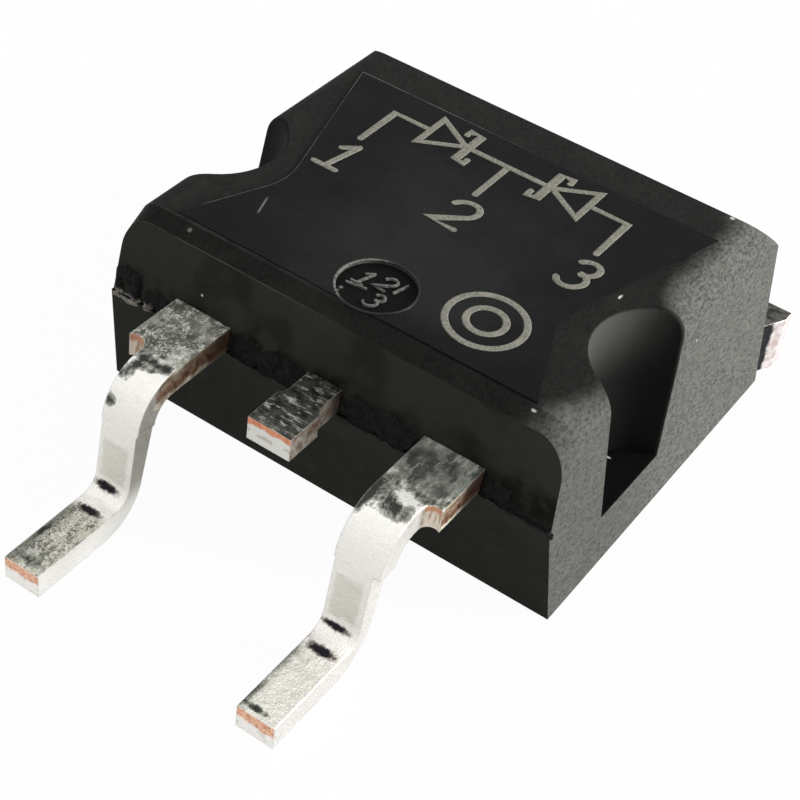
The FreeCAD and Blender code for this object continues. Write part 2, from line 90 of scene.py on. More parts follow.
def shade(colour, share):
    """A colour made darker or lighter."""
    return tuple(part * share for part in colour)


class Reading:
    """A number that varies over a surface. Sums and products of readings add Math nodes."""

    def __init__(self, finish, socket):
        self.finish = finish
        self.socket = socket

    def __add__(self, other):
        return self.finish.math("ADD", self, other)

    def __sub__(self, other):
        return self.finish.math("SUBTRACT", self, other)

    def __rsub__(self, other):
        return self.finish.math("SUBTRACT", other, self)

    def __mul__(self, other):
        return self.finish.math("MULTIPLY", self, other)

    def __abs__(self):
        return self.finish.math("ABSOLUTE", self)

    __radd__ = __add__

    def swing(self, amount):
        """The same noise about zero, with a range of about that amount."""
        return (self - 0.5) * amount


class Finish:
    """One material: its nodes, and the masks and grains that the finishes share."""

    def __init__(self, name):
        self.material = bpy.data.materials.new(name)
        self.material.use_nodes = True
        self.tree = self.material.node_tree
        self.tree.nodes.clear()
        spot = self.node("TexCoord", output="Object")
        self.place = self.vector("SCALE", spot, Scale=1 / MM)
        self.x, self.y, self.z = self.split(self.place)
        self.facing_x, self.facing_y, self.facing_z = self.split(self.node("TexCoord", output="Normal"))

    def node(self, kind, settings=None, sockets=None, output=0):
        """Add a node of any type, set it up, fill its sockets and give one of its outputs."""
        made = self.tree.nodes.new("ShaderNode" + kind)
        for name, value in (settings or {}).items():
            setattr(made, name, value)
        for name, value in (sockets or {}).items():
            socket = made.inputs[name]
            if isinstance(value, Reading):
                self.tree.links.new(value.socket, socket)
            elif socket.type == "RGBA":
                socket.default_value = (*value, 1)
            else:
                socket.default_value = value
        return Reading(self, made.outputs[output])

    def split(self, vector):
        """The three parts of a vector or a colour."""
        node = self.node("SeparateXYZ", sockets={0: vector}).socket.node
        return [Reading(self, part) for part in node.outputs]

    def math(self, operation, *values):
        """Work out something from numbers and readings."""
        return self.node("Math", {"operation": operation}, dict(enumerate(values)))

    def vector(self, operation, *values, output=0, **named):
        """The same for vectors, with some sockets given by name."""
        return self.node("VectorMath", {"operation": operation}, {**dict(enumerate(values)), **named},
                         output)

    def rise(self, value, low, high):
        """0 below low, 1 above high and smooth between."""
        return self.node("MapRange", {"interpolation_type": "SMOOTHSTEP"},
                         {"Value": value, "From Min": low, "From Max": high})

    def fall(self, value, low, high):
        """1 below low, 0 above high and smooth between."""
        return 1 - self.rise(value, low, high)

    def band(self, value, low, high, soft):
        """1 from low to high, with soft ends."""
        return self.rise(value, low - soft, low + soft) * self.fall(value, high - soft, high + soft)

    def either(self, *masks):
        """The strongest of several masks."""
        strongest = masks[0]
        for mask in masks[1:]:
            strongest = self.math("MAXIMUM", strongest, mask)
        return strongest

    def grain(self, size, seed, detail=2.0, rough=0.5, stretch=None):
        """Cloudy noise with features of about that size, mostly near a half."""
        place = self.vector("MULTIPLY", self.place, stretch) if stretch else self.place
        return self.node("TexNoise", {"noise_dimensions": "4D"},
                         {"Vector": place, "W": seed, "Scale": 1 / size, "Detail": detail,
                          "Roughness": rough})

    def specks(self, size, seed, share):
        """Small spots, scattered so that about that share of the cells of that size has one."""
        cells = self.node("TexVoronoi", {"voronoi_dimensions": "4D"},
                          {"Vector": self.place, "W": seed, "Scale": 1 / size})
        chance = self.split(Reading(self, cells.socket.node.outputs["Color"]))[0]
        return self.fall(cells, 0.12, 0.3) * self.rise(chance, 1 - share, 1 - share + 0.01)

    def blot(self, centre, reach, ragged=0.35, seed=1.0, size=0.12, inner=0.5):
        """Stain with a ragged edge: its centre, its reach along each axis, and the share of that
        reach where it starts to fade."""
        scaled = self.vector("DIVIDE", self.vector("SUBTRACT", self.place, centre), reach)
        length = self.vector("LENGTH", scaled, output="Value")
        wobble = self.grain(size, seed, 4.0, 0.65).swing(ragged * 4)
        return self.fall(length + wobble, inner, 1.65 - inner)

    def mix(self, share, first, second):
        """Mix two colours."""
        return self.node("Mix", {"data_type": "RGBA"}, {0: share, 6: first, 7: second}, 2)

    def round_edges(self, radius):
        """Normal with the edges rounded off, and how much of an edge each place is."""
        rounded = self.node("Bevel", {"samples": 8}, {"Radius": radius * MM})
        plain = self.node("NewGeometry", output="Normal")
        return rounded, 1 - self.vector("DOT_PRODUCT", rounded, plain, output="Value")

    def bump(self, height, depth, normal):
        """Raise the surface by height, a reading of about 0 to 1, times a depth."""
        return self.node("Bump", sockets={"Height": height, "Strength": 1.0,
                                          "Distance": depth * MM, "Normal": normal})

    def surface(self, constants, **links):
        """Finish the material with a Principled shader."""
        named = {name.replace("_", " "): value for name, value in links.items()}
        shader = self.node("BsdfPrincipled", sockets={**constants, **named})
        self.show(shader)
        return self.material

    def show(self, shader):
        """Put a shader on the surface."""
        out = self.tree.nodes.new("ShaderNodeOutputMaterial")
        self.tree.links.new(shader.socket, out.inputs["Surface"])


def moulding_compound():
    """Filled black epoxy: satin middle of the top, grainy border and sides, smooth dark front."""
    f = Finish("moulding_compound")
    rounded, edge = f.round_edges(0.035)
    clouds = f.grain(2.2, 3.0, 3.0)
    blotches = f.grain(0.7, 5.0, 3.0)
    sand = f.grain(0.06, 7.0, 5.0, 0.78, (1, 0.6, 1.3))
    fine = f.grain(0.03, 9.0, 2.0)

    # Masks of the raised middle, the ejector mark, the sides, the front and the notches
    level = f.rise(f.facing_z, 0.9, 0.97)
    raised = f.rise(f.z, TOP - 0.028, TOP - 0.022) * f.fall(abs(f.x), 4.15, 4.2)
    plateau = level * f.rise(f.z, TOP - 0.02, TOP - 0.008)
    recess = level * f.band(f.z, TOP - 0.065, TOP - 0.045, 0.004) * f.fall(abs(f.x), 0.9, 1.0)
    bevels = f.rise(abs(f.facing_y), 0.35, 0.5) * f.rise(f.facing_z, 0.4, 0.6)
    beside_notch = f.rise(f.y, -2.3, -0.5) * f.fall(f.y, 1.3, 2.2)
    # Near the right rim the top takes the side's painted light tone, a painted gradient over the
    # rounding, less of it beside the notch
    outward = f.x + blotches.swing(0.5) + f.fall(f.y, -2.3, -1.5) * 0.1 - beside_notch * 0.5
    upward = f.rise(f.facing_z, 0.3, 0.75) * f.fall(outward, 3.8, 4.45)
    upward = f.either(upward, raised, bevels * f.fall(f.x, 3.6, 4.3))
    behind = f.either(f.rise(f.facing_y, 0.8, 0.95), f.rise(0 - f.facing_x, 0.3, 0.9))
    at_front = f.fall(f.y, -2.2, -2.1)
    front = f.rise(0 - f.facing_y, 0.8, 0.95) * at_front
    across = abs(f.x) - NOTCH.x
    along = f.y - NOTCH.y
    from_axis = f.math("SQRT", across * across + along * along)
    above_floor = f.z - NOTCH.z
    in_notch = f.fall(from_axis - above_floor * NOTCH_FLARE, NOTCH_RADIUS + 0.02, NOTCH_RADIUS + 0.05)
    in_notch = in_notch * f.rise(above_floor, -0.02, -0.01)

    # Tones of each of those parts
    # Painted sheen: a broad area of the raised top painted lighter as a reflection, broken by random
    # clouds
    painted_sheen = f.blot((0.3, -0.1, TOP), (2.6, 3.0, 9), ragged=0.3, seed=60.0, size=1.3, inner=0.2)
    satin = f.mix(painted_sheen * f.rise(clouds, 0.25, 0.6), (0.0012, 0.0018, 0.0016), (0.013, 0.0148, 0.0136))
    aside = f.x - SCRATCH.x + (f.y - SCRATCH.y) * SCRATCH_SLANT
    scratch = f.fall(abs(aside), 0.008, 0.028) * f.band(f.y, SCRATCH.y - 0.22, SCRATCH.y + 0.23, 0.06)
    satin = f.mix(scratch * f.rise(blotches, 0.2, 0.5), satin, (0.17, 0.17, 0.155))
    border = f.mix(f.rise(sand, 0.3, 0.7), (0.0055, 0.006, 0.005), (0.019, 0.02, 0.0175))
    border = f.mix(f.rise(blotches, 0.45, 0.75) * 0.5, border, (0.026, 0.027, 0.0235))
    # Sides: grain over a tone painted lighter than the top, as painted light from the lamp on the right;
    # the rear and left faces, turned from it, take more of the top's darker tone
    lit_grainy_side = f.mix(f.rise(sand, 0.36, 0.6), (0.06, 0.061, 0.054), (0.2, 0.203, 0.182))
    nearer = f.fall(f.y + clouds.swing(3), -1.0, 4.0)
    lit_grainy_side = f.mix(nearer * 0.35, lit_grainy_side, (0.062, 0.064, 0.056))
    lit_grainy_side = f.mix(behind * 0.6, lit_grainy_side, border)
    plain_front = f.mix(f.rise(f.z, 1.2, 3.6), (0.0125, 0.013, 0.0098), (0.026, 0.0265, 0.0215))
    plain_front = f.mix(f.rise(blotches, 0.5, 0.75) * 0.4, plain_front, (0.038, 0.037, 0.031))
    dull = f.rise(f.grain(1.3, 6.0, 3.0), 0.48, 0.62)
    plain_front = f.mix(dull * 0.6, plain_front, (0.0085, 0.0088, 0.007))
    # Near-black patches in a band just above the seam
    seam_patches = f.band(f.z + blotches.swing(1.2), 2.45, 3.0, 0.2) * f.rise(f.grain(0.5, 8.0, 3.0), 0.4, 0.55)
    plain_front = f.mix(seam_patches * 0.85, plain_front, (0.002, 0.002, 0.0018))
    # Notch: painted light on the upper walls and the far wall, painted shade lower down, and a painted
    # shadow on its floor
    lit_wall = f.rise(f.z, 2.8, 4.5) * f.rise(f.facing_x, 0.2, 1.05)
    notch_light_and_shade = f.mix(lit_wall, (0.0052, 0.0058, 0.0048), (0.068, 0.07, 0.063))
    far_wall = f.rise(f.z, 2.9, 4.3) * f.rise(0 - f.facing_x, 0.1, 0.7) * f.rise(f.facing_y, -0.2, 0.5)
    notch_light_and_shade = f.mix(far_wall, notch_light_and_shade, (0.055, 0.056, 0.049))
    notch_light_and_shade = f.mix(f.rise(f.facing_z, 0.8, 0.95), notch_light_and_shade, (0.001, 0.0012, 0.001))

    # Put together, with painted shade on the seam ledge, the step and the outline of the raised middle,
    # painted highlights on the left edges, dust, white flecks and one painted glint
    colour = f.mix(upward, lit_grainy_side, border)
    colour = f.mix(front, colour, plain_front)
    # Painted shade on the upward ledge of the seam at the front
    ledge = level * f.band(f.z, PARTING - 0.02, PARTING + 0.02, 0.01) * at_front
    colour = f.mix(ledge, colour, (0.003, 0.003, 0.0027))
    colour = f.mix(in_notch, colour, notch_light_and_shade)
    # Painted shade on the step walls round the raised middle
    colour = f.mix(raised, colour, (0.004, 0.0042, 0.0038))
    colour = f.mix(plateau, colour, satin)
    # Painted shade along the right part of the raised middle's outline
    outline_shade = f.rise(edge, 0.004, 0.04) * raised * f.rise(f.x, 0.8, 1.6)
    colour = f.mix(outline_shade, colour, (0.0006, 0.0008, 0.0006))
    colour = f.mix(recess, colour, (0.0022, 0.0024, 0.002))
    # Painted highlight: rounded edges on the left part of the top painted pale as thin light lines, in
    # patches
    highlight_side = f.fall(f.x, -1.9, 0.6) * f.rise(f.z, TOP - 0.36, TOP - 0.26)
    highlight_side = highlight_side * (1 - raised * f.fall(f.y, -1.8, -1.5))
    edge_highlight = f.rise(edge, 0.01, 0.08) * f.rise(blotches, 0.25, 0.55) * highlight_side
    colour = f.mix(edge_highlight * 0.85, colour, (0.22, 0.22, 0.195))
    dust = f.specks(0.2, 2.0, 0.05) * upward * f.fall(f.y, -1.7, -1.3) * f.fall(f.x, 0.5, 3.0)
    colour = f.mix(dust * 0.7, colour, (0.26, 0.26, 0.24))
    # White flecks, and one painted glint on the notch floor
    for centre, reach in FLECKS:
        fleck = f.blot(centre, reach, ragged=0.4, seed=14.0, size=0.05)
        colour = f.mix(fleck, colour, (0.62, 0.62, 0.58))

    grit = f.either((1 - upward) * (1 - front) * (1 - in_notch), upward * (1 - plateau) * 0.5, 0.12)
    height = sand * grit + fine * 0.15 + f.grain(0.9, 11.0) * plateau * 0.4
    return f.surface({"Specular IOR Level": 0.07}, Base_Color=colour,
                     Roughness=0.7 - plateau * 0.22 + blotches.swing(0.16),
                     Normal=f.bump(height, 0.07, rounded))


def flash_compound(name, torn_below):
    """Torn flash: nearly black lumps whose broken edges show paler filler."""
    f = Finish(name)
    rounded, edge = f.round_edges(0.02)
    crumbs = f.grain(0.05, 13.0, 4.0, 0.7)
    height = f.z + f.grain(0.15, 4.0, 3.0).swing(0.5)
    torn = f.either(f.fall(height, torn_below - 0.08, torn_below + 0.04), f.rise(edge, 0.1, 0.4) * 0.5)
    colour = f.mix(f.rise(crumbs, 0.4, 0.7), (0.0018, 0.0018, 0.0016), (0.012, 0.0125, 0.012))
    colour = f.mix(f.rise(crumbs, 0.66, 0.74) * 0.6, colour, (0.1, 0.1, 0.095))
    colour = f.mix(torn * f.rise(crumbs, 0.34, 0.55), colour, (0.3, 0.285, 0.24))
    return f.surface({"Specular IOR Level": 0.12}, Base_Color=colour, Roughness=0.55 + crumbs * 0.3,
                     Normal=f.bump(crumbs, 0.03, rounded))


def laser_mark():
    """Matt beige-grey that a laser leaves in the black top."""
    f = Finish("laser_mark")
    grains = f.grain(0.05, 17.0, 3.0, 0.6)
    patches = f.grain(0.4, 18.0, 3.0)
    colour = f.mix(f.rise(grains, 0.3, 0.7), (0.15, 0.147, 0.122), (0.3, 0.292, 0.245))
    colour = f.mix(f.rise(patches, 0.5, 0.7) * 0.5, colour, (0.32, 0.3, 0.255))
    plain = f.node("NewGeometry", output="Normal")
    return f.surface({"Specular IOR Level": 0.1}, Base_Color=colour, Roughness=0.8 + grains * 0.1,
                     Normal=f.bump(grains, 0.01, plain))


def bare_relief(name, light, dark, roughness, lit_until=9.0):
    """Smooth compound of raised figures and lips, polished by the mould and paler up to an X; on the pin
    lip that pale left arc is a painted highlight.
    """
    f = Finish(name)
    grains = f.grain(0.06, 19.0, 3.0)
    lit = f.fall(f.x + f.grain(0.25, 20.0).swing(0.6), lit_until - 0.35, lit_until + 0.1)
    plain = f.node("NewGeometry", output="Normal")
    colour = f.mix(f.rise(grains, 0.3, 0.6) * lit, dark, light)
    return f.surface({"Specular IOR Level": 0.2}, Base_Color=colour,
                     Roughness=roughness + grains * 0.1, Normal=f.bump(grains, 0.008, plain))


CREAM_TIN = (0.93, 0.915, 0.87)
GREY_TIN = (0.68, 0.67, 0.61)
BEIGE_PATCH = (0.7, 0.685, 0.6)
CHARCOAL = (0.017, 0.019, 0.017)
COPPER = (0.75, 0.33, 0.19)


def tinned_lead(name, side, olive_end, cut_end, shoulder, specks, dark_blots, bend_marks, patch,
                foot_tones, leg_side):
    """Tin over copper as a lead has it: olive and speckled by the body, bright on the leg, with
    charcoal blots, dark marks across the foot bend and bare copper where the strip was cut."""
    f = Finish(name)
    rounded, edge = f.round_edges(0.05)
    across = f.x - side * LEAD_PITCH
    sheared = f.rise(abs(f.facing_x), 0.6, 0.85)
    upper = f.rise(f.z, 2.2, 2.6)
    crystals = f.grain(0.042, 21.0, 4.0, 0.72)
    mottle = f.grain(0.2, 23.0, 4.0, 0.62)
    clouds = f.grain(0.55, 24.0, 3.0, 0.5)
    scrapes = f.grain(0.13, 26.0, 4.0, 0.6, (1.0, 0.3, 1.0))

    # Bright tin, and the olive shoulder by the body
    colour = f.mix(f.rise(crystals, 0.42, 0.72) * 0.25, CREAM_TIN, GREY_TIN)
    along = f.y + mottle.swing(1.3) + scrapes.swing(0.7)
    near_body = f.rise(along, olive_end - 0.22, olive_end + 0.2)
    dark, light = shoulder
    speckled = f.mix(f.rise(clouds + mottle.swing(0.6), 0.38, 0.66), shade(dark, 0.7), shade(dark, 2.3))
    speckled = f.mix(f.rise(crystals + mottle.swing(0.7), 0.5, 0.66) * specks, speckled, light)
    scraped = 1 - specks * 0.6
    speckled = f.mix(f.rise(scrapes, 0.5, 0.64) * scraped, speckled, shade(dark, 0.4))
    speckled = f.mix(f.fall(scrapes, 0.36, 0.46) * scraped * 0.7, speckled, light)
    colour = f.mix(near_body * upper * (1 - sheared), colour, speckled)

    # Beige patch on the front of the leg, and the scraped foot
    frayed = mottle.swing(0.2) + crystals.swing(0.12)
    beige = f.band(f.z + frayed * 1.5, *patch, 0.05) * f.band(across + frayed * 0.6, -0.3, 0.26, 0.04)
    colour = f.mix(beige * f.fall(f.y, -5.0, -4.9) * 0.7, colour, BEIGE_PATCH)
    foot = f.fall(f.y, -6.1, -5.8) * f.rise(f.facing_z, 0.5, 0.8)
    pale, stained, amount, rim_end = foot_tones
    foot_tin = f.mix(f.rise(scrapes + crystals.swing(0.7), 0.42, 0.6) * amount, pale, stained)
    threads = f.fall(abs(f.grain(0.09, 29.0, 2.0) - 0.5), 0.012, 0.045)
    foot_tin = f.mix(threads * amount * 0.75, foot_tin, CREAM_TIN)
    colour = f.mix(foot, colour, foot_tin)
    rim = f.fall(across + mottle.swing(0.3), -0.42, rim_end) * foot
    colour = f.mix(rim * f.rise(crystals, 0.3, 0.55) * 0.9, colour, (0.05, 0.051, 0.036))

    # Charcoal blots, and the dark marks across the foot bend
    smudge = sum(f.blot(centre, reach, ragged=0.12, seed=30.0 + number, size=0.3, inner=-0.1)
                 for number, (centre, reach) in enumerate(dark_blots))
    torn = smudge + mottle.swing(1.7) + scrapes.swing(1.7) + crystals.swing(0.9)
    torn = torn * f.rise(smudge, 0.1, 0.45)
    colour = f.mix(f.rise(torn, 0.25, 0.6) * 0.8, colour, (0.26, 0.265, 0.22))
    colour = f.mix(f.rise(torn, 0.5, 1.05) * 0.92, colour, CHARCOAL)
    for number, (centre, reach) in enumerate(bend_marks):
        wider = tuple(part * 1.2 for part in reach)
        stain = f.blot(centre, reach, ragged=0.35, seed=40.0 + number, size=0.07)
        halo = f.blot(centre, wider, ragged=0.4, seed=40.0 + number, size=0.07)
        colour = f.mix(halo * 0.75, colour, (0.2, 0.115, 0.09))
        colour = f.mix(stain, colour, (0.012, 0.012, 0.017))

    # Cut sides of the strip, in layers at the shoulder
    by_shoulder = f.rise(f.y + mottle.swing(0.6), cut_end - 0.15, cut_end + 0.15)
    cut_side = sheared * f.rise(f.z, 1.7, 2.2) * by_shoulder
    layers = f.z + f.grain(0.3, 25.0, 3.0, 0.5, (1, 1, 0.3)).swing(0.22)
    brown = f.mix(f.rise(mottle, 0.4, 0.6), (0.07, 0.028, 0.018), (0.27, 0.15, 0.09))
    tan = f.mix(f.rise(mottle, 0.42, 0.62), (0.36, 0.29, 0.2), (0.74, 0.68, 0.57))
    olive = f.mix(f.rise(mottle, 0.4, 0.6), (0.17, 0.1, 0.06), (0.36, 0.3, 0.22))
    bands = f.mix(f.rise(layers, 2.64, 2.78), brown, olive)
    bands = f.mix(f.either(f.rise(layers, 2.84, 2.9), f.fall(layers, 2.48, 2.56)), bands, tan)
    bands = f.mix(f.rise(f.y + mottle.swing(0.4), -3.6, -2.9) * 0.85, bands, (0.045, 0.017, 0.011))
    colour = f.mix(cut_side, colour, bands)
    on_leg = f.rise(f.z, 0.35, 1.0) if side < 0 else 1.0
    colour = f.mix(sheared * (1 - cut_side) * on_leg * 0.85, colour, leg_side)

    # Torn tie-bar ends at the shoulder, and the cut tip of the foot
    hook = f.rise(0 - f.facing_y, 0.3, 0.6) * f.rise(abs(across), 0.38, 0.43)
    hook = hook * f.band(f.y, -4.5, -3.75, 0.03) * f.rise(f.z, 2.3, 2.4)
    stripes = f.grain(0.1, 28.0, 2.0, 0.5, (1, 1, 0.12))
    hook_colour = f.mix(f.rise(stripes, 0.52, 0.62) * 0.8, (0.8, 0.73, 0.62), (0.42, 0.25, 0.16))
    hook_colour = f.mix(f.rise(f.z + mottle.swing(0.3), 2.76, 2.84), hook_colour, (0.6, 0.32, 0.2))
    colour = f.mix(hook, colour, hook_colour)
    tip = f.rise(0 - f.facing_y, 0.8, 0.9) * f.fall(f.y, LEAD_LOW.y + 0.02, LEAD_LOW.y + 0.06)
    bare = f.rise(f.z + mottle.swing(0.25), 0.24, 0.3)
    copper = f.mix(f.rise(crystals, 0.35, 0.6), (0.5, 0.2, 0.1), (0.95, 0.6, 0.42))
    tip_tin = f.mix(f.rise(mottle, 0.5, 0.62) * 0.5, (0.97, 0.94, 0.9), (0.6, 0.59, 0.53))
    colour = f.mix(tip, colour, f.mix(bare, tip_tin, copper))

    # Painted highlights: edges painted pale as glints, weaker near the body
    edge_highlight = f.rise(edge, 0.06, 0.3) * (0.75 - near_body * 0.3)
    colour = f.mix(edge_highlight, colour, (0.9, 0.88, 0.84))
    height = crystals * 0.6 + mottle + f.grain(1.1, 27.0) * 1.5
    return f.surface({"Specular IOR Level": 0.15}, Base_Color=colour, Metallic=0.72 - near_body * 0.35,
                     Roughness=0.34 + crystals * 0.2 + near_body * 0.18,
                     Normal=f.bump(height, 0.035, rounded))


def tinned_header():
    """Tin over copper on the slab, the tab and the cut-off middle lead."""
    f = Finish("tinned_header")
    rounded, edge = f.round_edges(0.04)
    crystals = f.grain(0.07, 51.0, 4.0, 0.65)
    mottle = f.grain(0.22, 53.0, 4.0, 0.6)
    streaks = f.grain(0.1, 55.0, 5.0, 0.7, (0.4, 1.2, 1))
    upward = f.rise(f.facing_z, 0.7, 0.9)
    sideways = f.rise(abs(f.facing_x), 0.6, 0.85)
    colour = f.mix(f.rise(crystals, 0.4, 0.7) * 0.4, (0.7, 0.68, 0.62), (0.5, 0.48, 0.42))

    # Cut-off middle lead
    stub = f.fall(f.y, -2.0, -1.9)
    speckled = f.mix(f.rise(mottle, 0.4, 0.6), (0.02, 0.021, 0.018), (0.075, 0.077, 0.066))
    speckled = f.mix(f.rise(streaks, 0.5, 0.66), speckled, (0.55, 0.54, 0.48))
    colour = f.mix(stub * upward, colour, speckled)
    stub_side = f.mix(f.rise(mottle, 0.4, 0.6), (0.3, 0.2, 0.14), (0.68, 0.62, 0.54))
    by_body = f.rise(f.y + mottle.swing(0.6), -3.05, -2.75)
    stub_side = f.mix(by_body * 0.85, stub_side, (0.05, 0.03, 0.02))
    colour = f.mix(stub * sideways, colour, stub_side)
    tip = f.rise(0 - f.facing_y, 0.8, 0.9) * f.fall(f.y, HEADER_LOW.y + 0.02, HEADER_LOW.y + 0.06)
    bare = f.rise(f.z + mottle.swing(0.25) + crystals.swing(0.1), LEAD_TOP - 0.16, LEAD_TOP - 0.11)
    dents = f.band(f.z, LEAD_TOP - 0.34, LEAD_TOP - 0.26, 0.06)
    dents = dents * f.rise(f.grain(0.16, 57.0, 1.0), 0.5, 0.6)
    tip_tin = f.mix(dents * 0.8, (0.76, 0.75, 0.71), (0.42, 0.4, 0.34))
    tip_copper = f.mix(f.rise(crystals, 0.4, 0.6), (0.6, 0.22, 0.11), COPPER)
    colour = f.mix(tip, colour, f.mix(bare, tip_tin, tip_copper))

    # Ears and cut end of the tab
    ear = f.rise(abs(f.x), 4.2, 4.3) * f.rise(f.y, 6.2, 6.3)
    ear_top = f.mix(f.rise(mottle, 0.4, 0.62), (0.022, 0.022, 0.02), (0.13, 0.125, 0.11))
    colour = f.mix(ear * upward, colour, ear_top)
    ear_side = f.mix(f.rise(mottle, 0.4, 0.6), (0.62, 0.5, 0.47), (0.78, 0.75, 0.74))
    # Near-black band on the ear side next to the body: painted shade in the gap
    ear_side = f.mix(f.fall(f.y + mottle.swing(0.2), 6.55, 6.64), ear_side, (0.016, 0.016, 0.018))
    colour = f.mix(ear * f.rise(abs(f.facing_x), 0.3, 0.5), colour, ear_side)
    cut_ends = f.rise(f.facing_y, 0.8, 0.9) * f.band(f.z + mottle.swing(0.4), 0.5, 0.95, 0.1)
    colour = f.mix(cut_ends * 0.7, colour, (0.62, 0.33, 0.22))

    # Painted highlights: edges painted pale as glints
    edge_highlight = f.rise(edge, 0.1, 0.3) * 0.7
    colour = f.mix(edge_highlight, colour, (0.85, 0.83, 0.8))
    return f.surface({"Specular IOR Level": 0.15}, Base_Color=colour, Metallic=0.75 - stub * 0.25,
                     Roughness=0.38 + crystals * 0.2,
                     Normal=f.bump(crystals * 0.5 + mottle, 0.03, rounded))


def inner_metal(name, light, dark, roughness, size, metallic):
    """Plain metal or silicon of the pieces sealed in the body."""
    f = Finish(name)
    grains = f.grain(size, 61.0, 3.0)
    plain = f.node("NewGeometry", output="Normal")
    colour = f.mix(f.rise(grains, 0.35, 0.65), dark, light)
    return f.surface({"Metallic": metallic}, Base_Color=colour, Roughness=roughness + grains * 0.12,
                     Normal=f.bump(grains, 0.01, plain))


# Pieces made here

def new_piece(name, mesh, material):
    """Put a bmesh drawn in millimetres on the part as a piece of its own."""
    bmesh.ops.recalc_face_normals(mesh, faces=mesh.faces)
    bmesh.ops.scale(mesh, vec=(MM, MM, MM), verts=mesh.verts)
    data = bpy.data.meshes.new(name)
    mesh.to_mesh(data)
    mesh.free()
    data.materials.append(material)
    piece = bpy.data.objects.new(name, data)
    bpy.context.scene.collection.objects.link(piece)
    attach(piece, "root")
    return piece


def rounded_end(station, way):
    """Narrowing stations beyond the first or the last one of a stroke, the outermost first."""
    point, toward, half = station
    turns = [math.radians(angle) for angle in (75, 50, 25)]
    return [(point + toward * half * math.sin(turn) * way, toward, half * math.cos(turn))
            for turn in turns]


def add_stroke(mesh, line, width, level, height, closed=False):
    """Raised stroke along a flat line of points, with sloping flanks and rounded ends."""
    line = [Vector((x, y)) for x, y in line]
    count = len(line)
    stations = []
    for number, point in enumerate(line):
        before = line[number - 1] if closed or number else point
        after = line[(number + 1) % count] if closed or number < count - 1 else point
        toward = (after - before).normalized()
        bend = 1.0
        if before != point and after != point:
            bend = max(0.5, ((point - before).normalized() + (after - point).normalized()).length / 2)
        stations.append((point, toward, width / 2 / bend))
    if not closed:
        stations = rounded_end(stations[0], -1) + stations + rounded_end(stations[-1], 1)[::-1]
    rings = []
    for point, toward, half in stations:
        side = Vector((-toward.y, toward.x))
        shoulder = half * 0.72
        ring = [(point + side * half, level - 0.01), (point + side * half, level),
                (point + side * shoulder, level + height), (point - side * shoulder, level + height),
                (point - side * half, level), (point - side * half, level - 0.01)]
        rings.append([mesh.verts.new((spot.x, spot.y, z)) for spot, z in ring])
    spans = list(zip(rings, rings[1:])) + ([(rings[-1], rings[0])] if closed else [])
    for one, two in spans:
        for number in range(6):
            following = (number + 1) % 6
            mesh.faces.new((one[number], one[following], two[following], two[number]))
    if not closed:
        mesh.faces.new(rings[0])
        mesh.faces.new(rings[-1])


def arc(centre, radius, first, last, steps=14):
    """Points of an arc, from one angle to another in degrees."""
    angles = [math.radians(first + (last - first) * step / steps) for step in range(steps + 1)]
    return [(centre[0] + radius * math.cos(a), centre[1] + radius * math.sin(a)) for a in angles]


def circle(centre, radius, steps=64):
    return arc(centre, radius, 0, 360, steps)[:-1]


def figure(digit, left, foot, height, slant=0.18):
    """Lines of a plain figure 1, 2 or 3, leaning a little to the right."""
    strokes = {
        1: [[(0.1, 0.76), (0.34, 1.0)], [(0.34, 1.0), (0.34, 0.0)], [(0.08, 0.0), (0.6, 0.0)]],
        2: [arc((0.32, 0.7), 0.3, 165, -35) + [(0.03, 0.0), (0.64, 0.0)]],
        3: [arc((0.3, 0.75), 0.25, 150, -80), arc((0.3, 0.27), 0.28, 80, -150)],
    }[digit]
    return [[(left + (x + slant * y) * height, foot + y * height) for x, y in line] for line in strokes]


def draw_lines(mesh, lines, width, level, height):
    """Strokes along lines of points, closed where they return to their start, each a hair
    higher than the last."""
    for number, line in enumerate(lines):
        closed = line[0] == line[-1]
        add_stroke(mesh, line[:-1] if closed else line, width, level, height + number * HAIR, closed)


def circuit_mark(material):
    """Circuit of the package: two diodes that point to the middle pin, and the three pin numbers."""
    mesh = bmesh.new()
    rail = 3.3
    pin_foot = 2.1
    half = 0.5
    curl = 0.14
    left, middle, right = -2.75, -0.1, 2.55
    lines = [[(middle, rail), (middle, pin_foot)]]
    for end, way in ((left, 1), (right, -1)):
        base = end + 0.85 * way
        tip = base + 0.82 * way
        bar, near, far = tip + 0.06 * way, tip - 0.2 * way, tip + 0.26 * way
        lines.append([(end, pin_foot), (end, rail), (base, rail)])
        lines.append([(base, rail - half), (base, rail + half), (tip, rail), (base, rail - half)])
        lines.append([(near, rail + half - curl), (near, rail + half), (bar, rail + half),
                      (bar, rail - half), (far, rail - half), (far, rail - half + curl)])
        lines.append([(bar, rail), (middle, rail)])
    for digit, x in ((1, left), (2, middle), (3, right)):
        lines += figure(digit, left=x - 0.3, foot=0.9, height=0.92)
    draw_lines(mesh, lines, STROKE, TOP, MARK_HEIGHT)
    return new_piece("circuit_mark", mesh, material)


def ring_mark(material):
    """Plain double ring on the right of the top."""
    mesh = bmesh.new()
    centre = (2.05, -0.9)
    for radius in (0.73, 0.36):
        add_stroke(mesh, circle(centre, radius), STROKE, TOP, MARK_HEIGHT, closed=True)
    return new_piece("ring_mark", mesh, material)


